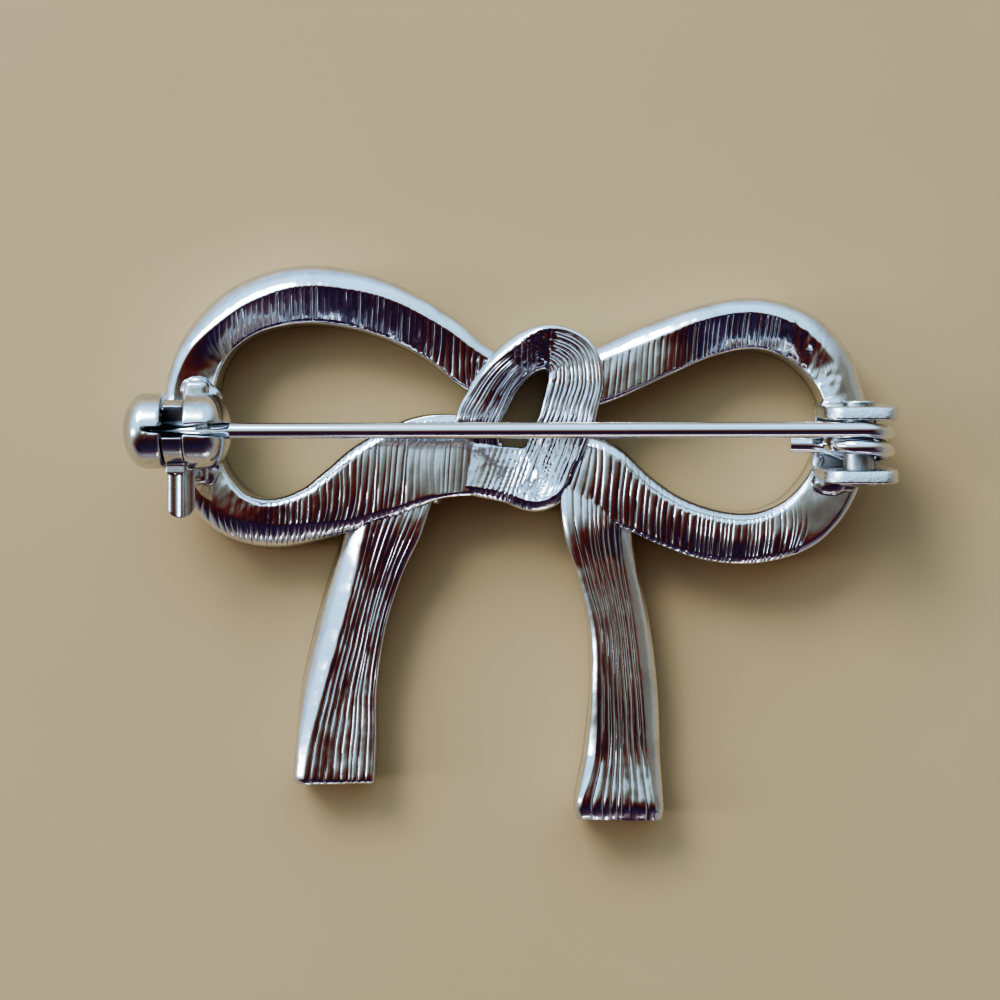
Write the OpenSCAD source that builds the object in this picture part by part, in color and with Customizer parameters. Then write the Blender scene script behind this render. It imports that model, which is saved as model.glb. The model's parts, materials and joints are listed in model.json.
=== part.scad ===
// Bow brooch, lying face down: the back of the casting is up and carries the pin.
// X runs along the pin towards its hinge, Y towards the tops of the loops, Z away from the surface.
// The origin is the middle of the outline, on the surface that the front lies on.

/* [Bow] */
// Width of the bow over both loops
bow_w = 40.4; // [38.8:0.2:42]
// Height of the bow from the loops' tops to the tails' ends
bow_h = 32.3; // [31:0.1:34]
// Sideways offset of the bow from the middle of the outline
bow_x = 0.3; // [0:0.1:0.5]
// Thickness of the casting at the ridge of the ribbon
cast_t = 4.2; // [3.8:0.1:4.6]
// Width of the ribbon on a plain stretch
ribbon_w = 3.2; // [2.9:0.1:3.5]
// Height of the ribbon's widest line above its front
edge_h = 1.1; // [0.8:0.1:1.3]
// How far the front of the ribbon is rounded in from each side
front_round = 1.0; // [0.7:0.1:1.1]
// Depth of the cast grooves that run along the tails and the knot
groove = 0.14; // [0.05:0.01:0.2]
// Height of the crown across the ribbon's back, as a share of the back's width
crown = 0.01; // [0:0.01:0.04]
// Slope of the polished band that leads from a wall's shoulder to the back, as rise over run
band_slope = 0.7; // [0.6:0.1:1]
// Share of a wall's run-in that lies below its shoulder
shoulder_in = 0.15; // [0.1:0.01:0.2]

/* [Pin stem] */
// Diameter of the pin wire
wire_d = 0.9; // [0.8:0.05:1]
// Length of the ground point
point_l = 4.4; // [4:0.1:5]
// Reach of the point past the middle of the catch's groove
point_reach = 1.5; // [1.2:0.05:1.7]
// Diameter of the blunt end of the point
point_d = 0.16; // [0.1:0.02:0.3]
// Radius of the spring coil, to the middle of the wire
coil_r = 1.55; // [1.4:0.05:1.6]
// Gap between the turns of the spring coil
coil_gap = 0.07; // [0.05:0.01:0.15]
// Reach of the coil's cut-off leg, from the rivet
leg_l = 3.6; // [3:0.05:4]
// Distance between the middle of the leg's end and the middle of the stem
leg_side = 0.73; // [0.6:0.01:1]

/* [Hinge] */
// Distance of the rivet outwards from the middle of the ribbon below it
hinge_out = 0.05; // [0:0.05:0.6]
// Length of an ear along the pin
ear_l = 4.2; // [3.9:0.1:4.6]
// Thickness of an ear
ear_t = 0.75; // [0.6:0.01:0.9]
// Height of an ear above the rivet
ear_top = 1.7; // [1.4:0.1:1.9]
// Lean of both ears, with their tops towards the tails
ear_lean = 5; // [0:1:8]
// Thickness of the hinge's foot
foot_t = 0.75; // [0.6:0.05:1]
// Diameter of the rivet's shank
rivet_d = 1.7; // [1.4:0.05:1.8]
// Diameter of the rivet's heads
rivet_head_d = 2.1; // [1.9:0.1:2.6]
// Thickness of a rivet head
rivet_head_t = 0.14; // [0.1:0.01:0.3]
// Height of the solder over the casting
solder_h = 0.1; // [0.05:0.01:0.15]

/* [Catch] */
// Distance of the catch outwards from the middle of the ribbon below it
catch_out = 0.3; // [0:0.05:0.6]
// Diameter of the catch's barrel
barrel_d = 4.26; // [4:0.02:4.5]
// Reach of the barrel from the middle of its groove to its outer end
barrel_out = 2.95; // [2.8:0.05:3.2]
// Reach of the barrel from the middle of its groove to its inner end
barrel_in = 3.1; // [2.9:0.05:3.4]
// Length of each rounded end of the barrel
dome_l = 1.3; // [1.1:0.05:1.5]
// Width of the groove that the lever moves in
catch_groove = 1.24; // [1.1:0.02:1.4]
// Height of the catch's middle above the casting
catch_h = 2.05; // [1.95:0.05:2.2]
// How far the catch's foot reaches into the casting
catch_sink = 0.4; // [0.2:0.05:0.6]
// Outer diameter of the rotor inside the barrel
rotor_d = 2.6; // [2.5:0.05:2.7]
// Inner diameter of the rotor
rotor_hole_d = 1.4; // [1.3:0.05:1.5]
// Diameter of the rotor's collar in the groove
collar_d = 3.8; // [3.6:0.05:3.9]
// Length of the lever from the rotor's axis to its tip
lever_l = 4.9; // [4.2:0.1:5.4]
// Width of the lever's tab
lever_w = 1.5; // [1.2:0.05:1.7]
// Sideways offset of the tab, towards the hinge
lever_side = 0.25; // [0:0.05:0.4]
// Thickness of the lever
lever_t = 0.62; // [0.5:0.02:0.8]

/* [Clearances] */
// Radial clearance where a piece turns in or on another
turn_gap = 0.04; // [0.02:0.01:0.08]
// Clearance beside and above a piece that moves past another
side_gap = 0.08; // [0.05:0.01:0.12]

/* [Hidden] */
eps = 0.01;
round_fn = 48;
silver = [0.78, 0.79, 0.81];
steel = [0.7, 0.71, 0.73];

// Columns of the section tables, from the knot outwards. Places are shares of half the bow's
// width and height, widths and run-ins are shares of ribbon_w, and heights are shares of cast_t.
// x, y: middle of the section; width: at the widest line; run_a, top_a: the back's edge on
// the first side, in from the widest line, and its height; run_b, top_b: the same on the second
// side; front: height of the front. The first side is a loop's outer one and a tail's left one.
LEFT_LOOP = [
    [ 0.000, 0.560, 0.90, 0.20, 0.80, 0.10, 0.76, 0.20],
    [-0.115, 0.640, 0.91, 0.24, 0.88, 0.06, 0.78, 0.18],
    [-0.220, 0.745, 0.94, 0.30, 0.95, 0.06, 0.76, 0.14],
    [-0.360, 0.840, 1.04, 0.37, 1.00, 0.08, 0.76, 0.08],
    [-0.495, 0.890, 1.10, 0.44, 1.00, 0.08, 0.74, 0.03],
    [-0.625, 0.900, 1.11, 0.48, 1.00, 0.08, 0.74, 0.00],
    [-0.755, 0.860, 1.04, 0.52, 1.00, 0.06, 0.74, 0.00],
    [-0.850, 0.775, 0.93, 0.45, 1.01, 0.05, 0.76, 0.00],
    [-0.905, 0.665, 0.89, 0.27, 1.02, 0.05, 0.86, 0.00],
    [-0.930, 0.535, 0.91, 0.20, 1.00, 0.05, 0.94, 0.00],
    [-0.930, 0.400, 0.94, 0.28, 0.98, 0.06, 1.00, 0.00],
    [-0.910, 0.270, 0.98, 0.32, 0.97, 0.08, 1.00, 0.00],
    [-0.860, 0.165, 0.99, 0.42, 0.95, 0.12, 1.00, 0.00],
    [-0.785, 0.095, 0.95, 0.46, 0.95, 0.15, 1.00, 0.00],
    [-0.685, 0.075, 0.96, 0.48, 0.95, 0.16, 1.00, 0.00],
    [-0.580, 0.110, 1.05, 0.36, 0.94, 0.20, 1.00, 0.04],
    [-0.490, 0.165, 1.30, 0.24, 0.90, 0.22, 1.00, 0.08],
    [-0.390, 0.235, 1.55, 0.20, 0.92, 0.22, 0.98, 0.12],
    [-0.255, 0.310, 1.59, 0.10, 0.94, 0.17, 0.91, 0.16],
    [-0.130, 0.320, 1.48, 0.08, 0.91, 0.14, 0.87, 0.18],
    [-0.060, 0.320, 1.40, 0.08, 0.66, 0.14, 0.60, 0.20]
];
RIGHT_LOOP = [
    [ 0.130, 0.560, 1.00, 0.25, 0.86, 0.10, 0.85, 0.20],
    [ 0.245, 0.610, 1.08, 0.32, 0.90, 0.10, 0.89, 0.18],
    [ 0.395, 0.695, 1.07, 0.36, 0.96, 0.08, 0.94, 0.12],
    [ 0.550, 0.770, 0.99, 0.33, 1.00, 0.07, 0.79, 0.05],
    [ 0.685, 0.795, 0.96, 0.33, 1.00, 0.05, 0.79, 0.00],
    [ 0.805, 0.755, 0.97, 0.40, 1.00, 0.05, 0.79, 0.00],
    [ 0.895, 0.655, 0.94, 0.45, 1.00, 0.05, 0.85, 0.00],
    [ 0.938, 0.535, 0.84, 0.44, 1.00, 0.05, 0.95, 0.00],
    [ 0.948, 0.400, 0.85, 0.28, 1.00, 0.05, 0.99, 0.00],
    [ 0.920, 0.265, 0.94, 0.18, 1.00, 0.08, 0.98, 0.00],
    [ 0.870, 0.155, 1.00, 0.14, 1.00, 0.14, 0.98, 0.00],
    [ 0.795, 0.070, 1.01, 0.14, 0.98, 0.18, 0.99, 0.00],
    [ 0.685, 0.027, 0.97, 0.14, 0.94, 0.23, 1.00, 0.00],
    [ 0.565, 0.035, 0.99, 0.12, 0.90, 0.25, 1.00, 0.03],
    [ 0.445, 0.085, 1.00, 0.10, 0.90, 0.25, 1.00, 0.08],
    [ 0.345, 0.155, 1.10, 0.08, 0.90, 0.25, 1.00, 0.13],
    [ 0.240, 0.235, 1.40, 0.08, 0.90, 0.24, 1.00, 0.16],
    [ 0.160, 0.280, 1.30, 0.08, 0.88, 0.20, 0.93, 0.20]
];
LEFT_TAIL = [
    [-0.320, 0.220, 1.20, 0.20, 0.80, 0.05, 0.80, 0.20],
    [-0.370, 0.085, 1.36, 0.34, 0.85, 0.07, 0.82, 0.18],
    [-0.425,-0.075, 1.30, 0.46, 0.76, 0.05, 0.68, 0.14],
    [-0.475,-0.280, 1.30, 0.51, 0.73, 0.05, 0.64, 0.08],
    [-0.510,-0.510, 1.40, 0.46, 0.73, 0.05, 0.63, 0.02],
    [-0.520,-0.695, 1.50, 0.32, 0.75, 0.05, 0.65, 0.00],
    [-0.525,-0.840, 1.50, 0.24, 0.77, 0.05, 0.68, 0.00],
    [-0.525,-0.862, 1.40, 0.22, 0.67, 0.05, 0.57, 0.06]
];
RIGHT_TAIL = [
    [ 0.228, 0.330, 1.20, 0.08, 0.80, 0.13, 0.80, 0.20],
    [ 0.230, 0.100, 1.30, 0.11, 0.98, 0.20, 0.88, 0.18],
    [ 0.262,-0.070, 1.16, 0.07, 0.95, 0.28, 0.74, 0.14],
    [ 0.300,-0.285, 1.16, 0.11, 0.95, 0.33, 0.71, 0.08],
    [ 0.315,-0.525, 1.29, 0.12, 0.95, 0.35, 0.71, 0.02],
    [ 0.310,-0.750, 1.44, 0.19, 0.90, 0.30, 0.67, 0.00],
    [ 0.300,-0.920, 1.63, 0.12, 0.98, 0.20, 0.80, 0.00],
    [ 0.298,-0.985, 1.60, 0.14, 0.74, 0.18, 0.60, 0.06]
];
// The knot is a ribbon bent round its opening: up the left leg, over the top, down the right leg
// and back below the opening. Its back falls towards the opening, which makes a shallow dish.
KNOT = [
    [-0.108, 0.235, 0.80, 0.08, 0.70, 0.06, 0.68, 0.22],
    [-0.110, 0.425, 0.84, 0.08, 0.92, 0.07, 0.86, 0.04],
    [-0.080, 0.515, 0.82, 0.09, 0.96, 0.08, 0.87, 0.00],
    [-0.040, 0.600, 0.80, 0.14, 1.00, 0.10, 0.89, 0.00],
    [ 0.018, 0.675, 0.84, 0.24, 1.04, 0.13, 0.91, 0.00],
    [ 0.090, 0.700, 0.86, 0.09, 1.06, 0.16, 0.92, 0.00],
    [ 0.155, 0.662, 0.98, 0.08, 1.06, 0.13, 0.93, 0.00],
    [ 0.170, 0.588, 1.02, 0.08, 1.06, 0.10, 0.92, 0.00],
    [ 0.157, 0.509, 1.02, 0.08, 1.04, 0.08, 0.88, 0.00],
    [ 0.140, 0.427, 1.02, 0.08, 1.00, 0.06, 0.82, 0.00],
    [ 0.108, 0.325, 1.06, 0.12, 0.96, 0.05, 0.72, 0.02],
    [ 0.064, 0.238, 1.24, 0.20, 0.92, 0.05, 0.66, 0.05],
    [-0.020, 0.248, 1.06, 0.22, 0.90, 0.05, 0.72, 0.08],
    [-0.110, 0.265, 1.00, 0.20, 0.93, 0.06, 0.87, 0.12],
    [-0.200, 0.280, 0.94, 0.16, 0.88, 0.06, 0.83, 0.16]
];
// Fillets in the crooks between the ribbons
// x, y: place; r: radius; top: height
CROOKS = [
    [-0.232, 0.172, 0.16, 0.80],
    [ 0.250, 0.362, 0.14, 0.84],
    [ 0.300, 0.060, 0.15, 0.74],
    [-0.051, 0.353, 0.13, 0.72]
];
// Solder round the bracket's foot, in shares of an ear's length from the rivet, and round the
// barrel's foot, in shares of the barrel's diameter from its middle
// x, y: place; r: radius
HINGE_SOLDER = [
    [-0.26, -0.48, 0.23],
    [-0.19,  0.62, 0.14],
    [-0.43,  0.07, 0.17]
];
CATCH_SOLDER = [
    [0.16,  0.61, 0.19],
    [0.35, -0.61, 0.16],
    [0.21,  0.00, 0.28]
];
// Rows of the loops that carry the catch and the hinge
CATCH_ROW = LEFT_LOOP[10];
HINGE_ROW = RIGHT_LOOP[8];

// Places of what is soldered on, from the casting below it
function bow_at(row) = [bow_x + row[0] * bow_w / 2, row[1] * bow_h / 2];
pin_y = bow_at(CATCH_ROW)[1];
catch_x = bow_at(CATCH_ROW)[0] - catch_out;
catch_z = cast_t + catch_h;
hinge_x = bow_at(HINGE_ROW)[0] + hinge_out;
coil_turns = 1.5;
coil_step = wire_d + coil_gap;
hinge_y = pin_y - coil_turns * coil_step / 2;
foot_z = cast_t - foot_t + solder_h;
foot_top = foot_z + foot_t;
hinge_z = foot_top + side_gap + coil_r + wire_d / 2;
ear_gap = coil_turns * coil_step + wire_d + 2 * side_gap;
wire_r = wire_d / 2;

// The stem is tangent to the top of the coil and runs through the middle of the catch
hinge_to_catch = norm([hinge_x - catch_x, hinge_z - catch_z]);
stem_tilt = atan2(hinge_z - catch_z, hinge_x - catch_x) + asin(coil_r / hinge_to_catch);
stem_l = sqrt(hinge_to_catch ^ 2 - coil_r ^ 2) + point_reach;
// The coil's wire is drawn up to here, where the straight stem comes clear of the ears
stem_start = ear_l / 2 + wire_d;
function point_r(x) =
    (point_d + (wire_d - point_d) * min((x + point_reach) / point_l, 1)) / 2;

// Curve through the rows of a table, with n steps from row to row
function spline(a, b, c, d, t) =
    (2 * b + (c - a) * t + (2 * a - 5 * b + 4 * c - d) * t * t
    + (3 * b - a - 3 * c + d) * t * t * t) / 2;
function fine(rows, n) = let (last = len(rows) - 1) [
    for (i = [0:last - 1]) for (k = [0:n - 1])
        spline(rows[max(i - 1, 0)], rows[i], rows[i + 1], rows[min(i + 2, last)], k / n),
    rows[last]
];
// One section, as [distance to the first side, height], with the given number of grooves
function section(row, grooves) =
    let (
        half = row[2] * ribbon_w / 2,
        a = half - row[3] * ribbon_w,
        b = -half + row[5] * ribbon_w,
        high_a = row[4] * cast_t,
        high_b = row[6] * cast_t,
        front = max(row[7], 0) * cast_t,
        wide = max(edge_h, front + edge_h / 2),
        shoulder_a = half + (a - half) * shoulder_in,
        shoulder_b = -half + (b + half) * shoulder_in,
        n = max(2 * grooves, 4)
    ) concat(
        [[half - front_round, front],
         [half - front_round / 4, front + (wide - front) / 3],
         [half, wide],
         [shoulder_a, high_a - (shoulder_a - a) * band_slope]],
        [for (j = [0:n]) let (t = j / n)
            [a + (b - a) * t,
             high_a + (high_b - high_a) * t + crown * (a - b) * 4 * t * (1 - t)
             - (j % 2 == 1 && grooves > 0 ? groove : 0)]],
        [[shoulder_b, high_b - (b - shoulder_b) * band_slope],
         [-half, wide],
         [-half + front_round / 4, front + (wide - front) / 3],
         [-half + front_round, front]]
    );
function direction(rows, i) =
    let (
        before = bow_at(rows[max(i - 1, 0)]),
        after = bow_at(rows[min(i + 1, len(rows) - 1)])
    ) (after - before) / norm(after - before);
function ring(rows, i, side, grooves) =
    let (
        middle = bow_at(rows[i]),
        along = direction(rows, i),
        out = side * [-along[1], along[0]]
    ) [for (p = section(rows[i], grooves))
        [middle[0] + p[0] * out[0], middle[1] + p[0] * out[1], p[1]]];

// Skin over a list of rings with equal numbers of points
module skin(rings, turned) {
    count = len(rings[0]);
    last = len(rings) - 1;
    walls = [for (i = [0:last - 1]) for (j = [0:count - 1])
        let (k = (j + 1) % count, a = i * count, b = a + count)
        each [[a + j, a + k, b + j], [a + k, b + k, b + j]]];
    caps = [
        [for (j = [count - 1:-1:0]) j],
        [for (j = [0:count - 1]) last * count + j]
    ];
    faces = concat(walls, caps);
    polyhedron(
        points = [for (r = rings) each r],
        faces = turned ? [for (f = faces) [for (j = [len(f) - 1:-1:0]) f[j]]] : faces,
        convexity = 10
    );
}
// A ribbon swept along a table; side is 1 where the first side lies left of the way along it.
// One that crosses itself is made in two lengths, which overlap by one step after the row cut.
module ribbon(rows, side, steps, grooves = 0, cut = 0) {
    path = fine(rows, steps);
    rings = [for (i = [0:len(path) - 1]) ring(path, i, side, grooves)];
    if (cut > 0) skin([for (i = [0:cut * steps + 1]) rings[i]], side > 0);
    skin([for (i = [cut * steps:len(rings) - 1]) rings[i]], side > 0);
}

// A round lump with a sloping shoulder, as solder and fillets have
module lump(at, r, low, high) {
    translate([at[0], at[1], low]) hull() {
        cylinder(r = r, h = (high - low) / 2, $fn = 16);
        cylinder(r = 0.6 * r, h = high - low, $fn = 12);
    }
}

module solder() {
    for (s = HINGE_SOLDER)
        lump([hinge_x, hinge_y] + [s[0], s[1]] * ear_l, s[2] * ear_l, cast_t / 2, foot_top + solder_h);
    for (s = CATCH_SOLDER)
        lump([catch_x, pin_y] + [s[0], s[1]] * barrel_d, s[2] * barrel_d, cast_t / 2, cast_t + solder_h);
}

module casting() {
    color(silver) union() {
        ribbon(LEFT_LOOP, -1, 3);
        ribbon(RIGHT_LOOP, 1, 3);
        ribbon(LEFT_TAIL, -1, 2, 6);
        ribbon(RIGHT_TAIL, -1, 2, 7);
        ribbon(KNOT, 1, 3, 4, cut = 8);
        for (c = CROOKS) lump(bow_at(c), c[2] * ribbon_w, edge_h / 2, c[3] * cast_t);
        solder();
    }
}

// Side view of an ear, from the rivet's height, with its two upper corners rounded
module ear_outline() {
    corner = ear_l / 4;
    low = foot_z - hinge_z;
    translate([-ear_l / 2, low]) square([ear_l, ear_top - corner - low]);
    translate([corner - ear_l / 2, low]) square([ear_l - 2 * corner, ear_top - low]);
    for (x = [-1, 1]) translate([x * (ear_l / 2 - corner), ear_top - corner])
        circle(r = corner, $fn = round_fn);
}
// An ear leans about the coil's edge nearest to it; side is 1 for the ear towards the loops' tops
module ear(side) {
    translate([hinge_x, hinge_y + side * ear_gap / 2, hinge_z + side * coil_r])
        rotate([ear_lean, 0, 0])
        translate([0, side > 0 ? ear_t : 0, -side * coil_r])
        rotate([90, 0, 0]) linear_extrude(ear_t) ear_outline();
}
module hinge_bracket() {
    foot_w = ear_gap + 2 * ear_t;
    color(silver) difference() {
        union() {
            translate([hinge_x - ear_l / 2, hinge_y - foot_w / 2, foot_z])
                cube([0.85 * ear_l, foot_w, foot_t]);
            for (side = [-1, 1]) ear(side);
        }
        translate([hinge_x, hinge_y, hinge_z]) rotate([90, 0, 0])
            cylinder(d = rivet_d + 2 * turn_gap, h = 3 * foot_w, center = true, $fn = round_fn);
    }
}
module hinge_rivet() {
    face = ear_gap / 2 + coil_r * tan(ear_lean) + ear_t / cos(ear_lean);
    reach = face + rivet_head_d / 2 * tan(ear_lean) + turn_gap;
    color(steel) translate([hinge_x, hinge_y, hinge_z]) rotate([90, 0, 0]) {
        cylinder(d = rivet_d, h = 2 * reach + rivet_head_t, center = true, $fn = round_fn);
        for (side = [-1, 1]) rotate([90 - side * 90, 0, 0]) translate([0, 0, reach])
            cylinder(d1 = rivet_head_d, d2 = rivet_d, h = rivet_head_t, $fn = round_fn);
    }
}

// Shapes across the catch are drawn as [Y, Z] and extruded along X.
// Angles go from the loops' side over the top to the tails' side.
module across(from, to) {
    translate([from, 0, 0]) rotate([90, 0, 90]) linear_extrude(to - from) children();
}
module wedge(from, to) {
    polygon(concat([[0, 0]],
        [for (i = [0:6]) let (a = from + (to - from) * i / 6) barrel_d * [cos(a), sin(a)]]));
}
web = [200, 290];
slot_edge = wire_d / 2 + side_gap;
pin_way = [for (x = [-point_reach - side_gap, barrel_in + 1]) [x, point_r(x) + side_gap]];
bore_reach = [barrel_out - dome_l + side_gap, barrel_in - dome_l + side_gap];

// Half of the barrel, from the groove to its rounded end
module half_barrel(reach) {
    rotate_extrude($fn = round_fn) polygon(concat(
        [[0, catch_groove / 2], [barrel_d / 2, catch_groove / 2]],
        [for (a = [0:15:90])
            [barrel_d / 2 * cos(a), reach - dome_l + dome_l * sin(a)]]
    ));
}
module catch_housing() {
    bore_d = rotor_d + 2 * turn_gap;
    foot = [0.35 * barrel_d, 1.4 * barrel_d, catch_h + catch_sink - 0.35 * barrel_d];
    color(silver) translate([catch_x, pin_y, catch_z]) difference() {
        union() {
            rotate([0, -90, 0]) half_barrel(barrel_out);
            rotate([0, 90, 0]) half_barrel(barrel_in);
            across(-catch_groove, catch_groove) intersection() {
                circle(d = barrel_d, $fn = round_fn);
                wedge(web[0], web[1]);
            }
            difference() {
                translate([side_gap, -foot[1] / 2, -catch_h - catch_sink]) cube(foot);
                across(-catch_groove, catch_groove / 2)
                    circle(d = collar_d + 2 * side_gap, $fn = round_fn);
            }
        }
        across(-bore_reach[0], bore_reach[1]) circle(d = bore_d, $fn = round_fn);
        rotate([0, 90, 0]) cylinder(r = slot_edge, h = barrel_in + 1, $fn = round_fn);
        linear_extrude(barrel_d) polygon(
            [for (side = [-1, 1]) for (i = side < 0 ? [0, 1] : [1, 0])
                [pin_way[i][0], side * pin_way[i][1]]]);
    }
}

// The wire from the stem's start, round the coil and out along the cut-off leg.
// Places are measured from the rivet's axis, below the middle of the stem.
coil_steps = 36;
function coil_point(i) =
    let (share = i / coil_steps, a = 90 + stem_tilt - (360 * coil_turns + stem_tilt) * share)
    [coil_r * cos(a), -coil_step * coil_turns * share, coil_r * sin(a)];
WIRE = concat(
    [coil_point(0) - (stem_start + wire_r) * [cos(stem_tilt), 0, sin(stem_tilt)]],
    [for (i = [0:coil_steps]) coil_point(i)],
    [[-leg_l / 2, -1.15 * leg_side, -coil_r], [-leg_l, -leg_side, -coil_r]]
);
function unit(v) = v / norm(v);
function wire_way(i) =
    unit(WIRE[min(i + 1, len(WIRE) - 1)] - WIRE[max(i - 1, 0)]);
function wire_ring(i, r, sides) =
    let (along = wire_way(i), out = unit(cross([0, 1, 0], along)), side = cross(out, along))
    [for (j = [0:sides - 1]) let (a = 360 * j / sides)
        WIRE[i] + r * (cos(a) * out + sin(a) * side)];
module coil_and_leg() {
    skin([for (i = [0:len(WIRE) - 1]) wire_ring(i, wire_r - eps, 12)], false);
}
module pin_stem() {
    color(steel) translate([hinge_x, pin_y, hinge_z]) {
        coil_and_leg();
        rotate([0, -90 - stem_tilt, 0]) translate([coil_r, 0, stem_start]) {
            cylinder(d = wire_d, h = stem_l - point_l - stem_start, $fn = round_fn);
            translate([0, 0, stem_l - point_l - stem_start])
                cylinder(d1 = wire_d, d2 = point_d, h = point_l, $fn = round_fn);
        }
    }
}

module catch_rotor() {
    collar = [-1, 1] * (catch_groove / 2 - side_gap);
    collar_r = collar_d / 2;
    slot = point_r(bore_reach[1]) + side_gap;
    root = barrel_d / 2 + 2 * side_gap;
    color(steel) translate([catch_x, pin_y, catch_z]) difference() {
        union() {
            across(-bore_reach[0] + side_gap, bore_reach[1] - side_gap)
                circle(d = rotor_d, $fn = round_fn);
            across(collar[0], collar[1]) intersection() {
                circle(r = collar_r, $fn = round_fn);
                union() {
                    wedge(90, 194);
                    wedge(26, 90);
                }
            }
            translate([collar[0], -root - eps, -lever_t / 2])
                cube([collar[1] - collar[0], root, lever_t]);
            translate([lever_side, lever_w / 2 - lever_l, -lever_t / 2])
                cylinder(d = lever_w, h = lever_t, $fn = round_fn);
            translate([lever_side - lever_w / 2, lever_w / 2 - lever_l, -lever_t / 2])
                cube([lever_w, lever_l - lever_w / 2 - root, lever_t]);
        }
        across(-barrel_d, barrel_d) circle(d = rotor_hole_d, $fn = round_fn);
        across(-barrel_d, barrel_d) polygon([
            [-slot, 0], [-slot, barrel_d], barrel_d * [cos(48), sin(48)], [slot, slot], [slot, 0]
        ]);
    }
}

casting();  // bow_frame
hinge_bracket();  // bow_frame
catch_housing();  // bow_frame
hinge_rivet();
pin_stem();
catch_rotor();
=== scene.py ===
import json
import math
import random

import bmesh
import bpy
import numpy as np
from mathutils import Matrix, Vector, noise


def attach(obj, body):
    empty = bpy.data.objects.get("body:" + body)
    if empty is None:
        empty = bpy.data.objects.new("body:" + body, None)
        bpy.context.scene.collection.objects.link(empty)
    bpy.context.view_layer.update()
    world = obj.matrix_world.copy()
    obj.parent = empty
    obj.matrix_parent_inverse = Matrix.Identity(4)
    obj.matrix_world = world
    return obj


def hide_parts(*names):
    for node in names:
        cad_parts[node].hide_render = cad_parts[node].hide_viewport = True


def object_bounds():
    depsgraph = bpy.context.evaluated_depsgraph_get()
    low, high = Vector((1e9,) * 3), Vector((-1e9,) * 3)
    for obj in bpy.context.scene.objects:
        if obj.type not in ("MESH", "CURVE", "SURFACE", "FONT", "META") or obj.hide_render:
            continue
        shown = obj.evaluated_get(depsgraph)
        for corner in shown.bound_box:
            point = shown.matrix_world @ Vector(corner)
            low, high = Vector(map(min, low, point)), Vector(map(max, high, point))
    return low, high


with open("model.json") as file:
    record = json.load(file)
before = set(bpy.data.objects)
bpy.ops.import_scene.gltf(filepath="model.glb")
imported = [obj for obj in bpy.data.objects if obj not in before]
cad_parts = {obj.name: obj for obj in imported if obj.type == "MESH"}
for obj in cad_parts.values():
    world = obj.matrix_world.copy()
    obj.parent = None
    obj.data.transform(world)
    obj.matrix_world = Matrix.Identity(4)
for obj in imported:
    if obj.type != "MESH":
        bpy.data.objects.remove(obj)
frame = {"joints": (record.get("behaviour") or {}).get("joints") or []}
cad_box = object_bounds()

# Lengths are in millimetres, as a jeweller writes them, and MM takes them to metres.
# The brooch lies face down: X runs along the pin towards its hinge, Y towards the loops' tops
# and Z up, out of the back.
MM = 0.001

# The bow: its width and height, the place of its middle, and the casting's thickness
bow_w, bow_h, bow_x = 40.4, 32.3, 0.3
cast_t = 4.2
# Its ribbons: their usual width, the height of their edge over the front, the rounding there, and
# how much the back is domed, as a share of its width
ribbon_w, edge_h, front_round, crown = 3.2, 1.1, 1.0, 0.01
# The smooth bands beside the back: how steeply they fall, and the share of their run that the wall
# under them takes
band_slope, shoulder_in = 0.7, 0.15
rib_pitch, rib_depth = 0.31, 0.075
# Profile of a cast rib, from one groove's bottom to the next: share of its width, and depth
RIB = [(0.0, 1.0), (0.13, 0.22), (0.32, 0.04), (0.5, 0.0), (0.68, 0.04), (0.87, 0.22)]
# Most that a rib's flat top is tipped, as the height of its edge over rib_depth
rib_tip = 0.24
# How far the smooth bands swell, as a share of their run, and where a fold is highest on the back
band_bulge, fold_at = 0.05, 0.45
# Ribs across a loop: the most that a row slants, for each step out from the ribbon's middle, and
# the length at each end over which that fades out
most_slant, slant_run = 1.1, 1.5
# Steps between sections: on a loop without ribs, on a tail, on the knot, and where it has upright
# ribs
plain_step, tail_step, knot_step, fine_step = 0.2, 0.18, 0.14, 0.06
# The cast surface: height of its waves, ripples, dents, bumps, pits and streaks, and how many of
# each lie in a millimetre
wave_h, ripple_h, dent_h, bump_h, pit_h, streak_h = 0.022, 0.010, 0.06, 0.030, 0.012, 0.016
waves_in, ripples_in, dents_in, bumps_in, pits_in = 0.9, 2.6, 1.3, 3.1, 7.0

# The pin: its wire, its ground point and how far that goes past the middle of the catch's groove,
# its coil round the rivet and the coil's cut-off leg
wire_d = 0.9
point_l, point_reach, point_d = 4.4, 1.5, 0.16
coil_r, coil_turns, coil_gap = 1.55, 1.5, 0.07
leg_l, leg_side = 3.6, 0.73
# The hinge: its ears, with their lean in degrees, their foot, the solder under it and the rivet
ear_l, ear_t, ear_top, ear_lean = 4.2, 0.75, 1.7, 5
foot_t, solder_h = 0.75, 0.1
rivet_d, rivet_head_d, rivet_head_t = 1.7, 2.1, 0.14
# The catch: its barrel, which reaches barrel_out away from the pin and barrel_in towards it, the
# groove between its domes, the height of its axis, the rotor with its collar, and the lever
barrel_d, barrel_out, barrel_in, dome_l = 4.26, 2.95, 3.1, 1.3
catch_groove, catch_h, catch_sink = 1.24, 2.05, 0.4
rotor_d, rotor_hole_d, collar_d = 2.6, 1.4, 3.8
lever_l, lever_w, lever_side, lever_t = 4.9, 1.5, 0.25, 0.62
# Clearance of what turns, and beside what slides or drops in
turn_gap, side_gap = 0.04, 0.08
# How far shapes that are joined reach into each other
overlap = 0.1


def joint_place(name):
    joint = next(j for j in frame["joints"] if j["name"] == name)
    return np.array(joint["pos_m"]) / MM


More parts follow.
